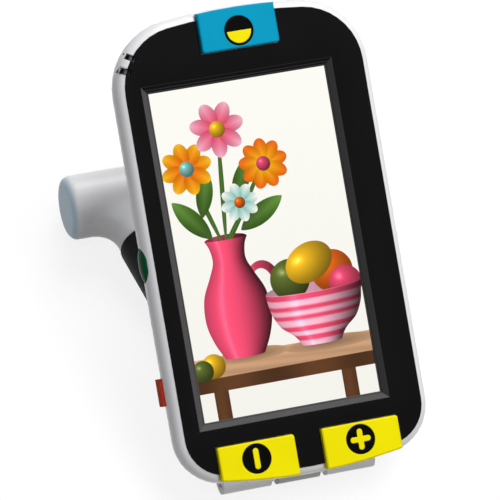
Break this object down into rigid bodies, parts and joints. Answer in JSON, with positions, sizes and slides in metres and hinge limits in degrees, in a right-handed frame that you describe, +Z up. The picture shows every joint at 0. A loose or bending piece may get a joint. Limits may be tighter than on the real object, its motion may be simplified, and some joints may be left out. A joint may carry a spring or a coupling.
{
  "type": "handheld video magnifier",
  "caption": "Handheld video magnifier with a bright screen, large coloured keys and a fold-out grip handle that props it up as a reading stand.",
  "frame": {"origin": "desk plane under the middle of the object's box as it stands on its handle", "axes": "+X to the right of the screen, +Y from the hinge end towards the grip bar, +Z up"},
  "size_m": [0.084, 0.1237, 0.0989],
  "materials": {
    "white_shell": "smooth satin white",
    "cap_white": "smooth cool white",
    "panel_black": "black, low gloss",
    "screen_cover": "clear",
    "screen": "lit picture",
    "tray_metal": "stamped",
    "board_green": "solder mask",
    "battery_wrap": "film wrapped",
    "dark_plastic": "matt",
    "lamp": "diffusing",
    "steel": "plain",
    "key_blue": "satin",
    "key_yellow": "satin",
    "icon_black": "satin",
    "button_red": "satin",
    "button_green": "satin",
    "arm_grey": "satin",
    "grip_black": "soft touch",
    "pad_black": "matt"
  },
  "bodies": {
    "body": {"rear_cover": "white_shell", "front_frame": "white_shell", "front_panel": "panel_black", "display_cover": "screen_cover", "camera_window": "screen_cover", "camera_lens": "screen_cover", "display_panel": "screen", "display_tray": "tray_metal", "shield_can": "tray_metal", "main_board": "board_green", "side_board": "board_green", "battery_pack": "battery_wrap", "camera_holder": "dark_plastic", "camera_barrel": "dark_plastic", "image_sensor": "dark_plastic", "key_switches": "dark_plastic", "side_switches": "dark_plastic", "supply_socket": "dark_plastic", "video_socket": "dark_plastic", "led_lamps": "lamp", "strap_pin": "steel", "case_screws": "steel", "hinge_pin": "steel", "hinge_washers": "steel"},
    "handle": {"handle_arm": "arm_grey", "grip_sleeve": "grip_black", "grip_front": "white_shell", "grip_rear": "white_shell", "grip_end_caps": "cap_white", "grip_screws": "steel", "rest_pads": "pad_black"},
    "contrast_key_body": {"contrast_key": "key_blue", "contrast_icon_dark": "icon_black", "contrast_icon_light": "key_yellow"},
    "zoom_out_key_body": {"zoom_out_key": "key_yellow", "zoom_out_disc": "icon_black", "zoom_out_mark": "key_yellow"},
    "zoom_in_key_body": {"zoom_in_key": "key_yellow", "zoom_in_disc": "icon_black", "zoom_in_mark": "key_yellow"},
    "power_button_body": {"power_button": "button_red"},
    "freeze_button_body": {"freeze_button": "button_green"}
  },
  "joints": [
    {"name": "handle_fold", "type": "hinge", "parent": "body", "child": "handle", "pos_m": [0, -0.04953, 0.004], "axis": [-1, 0, 0], "range_deg": [-26, 150]},
    {"name": "contrast_press", "type": "slide", "parent": "body", "child": "contrast_key_body", "axis": [0, 0.5859, -0.8104], "range_m": [0, 0.0008], "stiffness_N_per_m": 600},
    {"name": "zoom_out_press", "type": "slide", "parent": "body", "child": "zoom_out_key_body", "axis": [0, 0.5859, -0.8104], "range_m": [0, 0.0008], "stiffness_N_per_m": 600},
    {"name": "zoom_in_press", "type": "slide", "parent": "body", "child": "zoom_in_key_body", "axis": [0, 0.5859, -0.8104], "range_m": [0, 0.0008], "stiffness_N_per_m": 600},
    {"name": "power_press", "type": "slide", "parent": "body", "child": "power_button_body", "axis": [1, 0, 0], "range_m": [0, 0.0007], "stiffness_N_per_m": 500},
    {"name": "freeze_press", "type": "slide", "parent": "body", "child": "freeze_button_body", "axis": [1, 0, 0], "range_m": [0, 0.0007], "stiffness_N_per_m": 500}
  ]
}
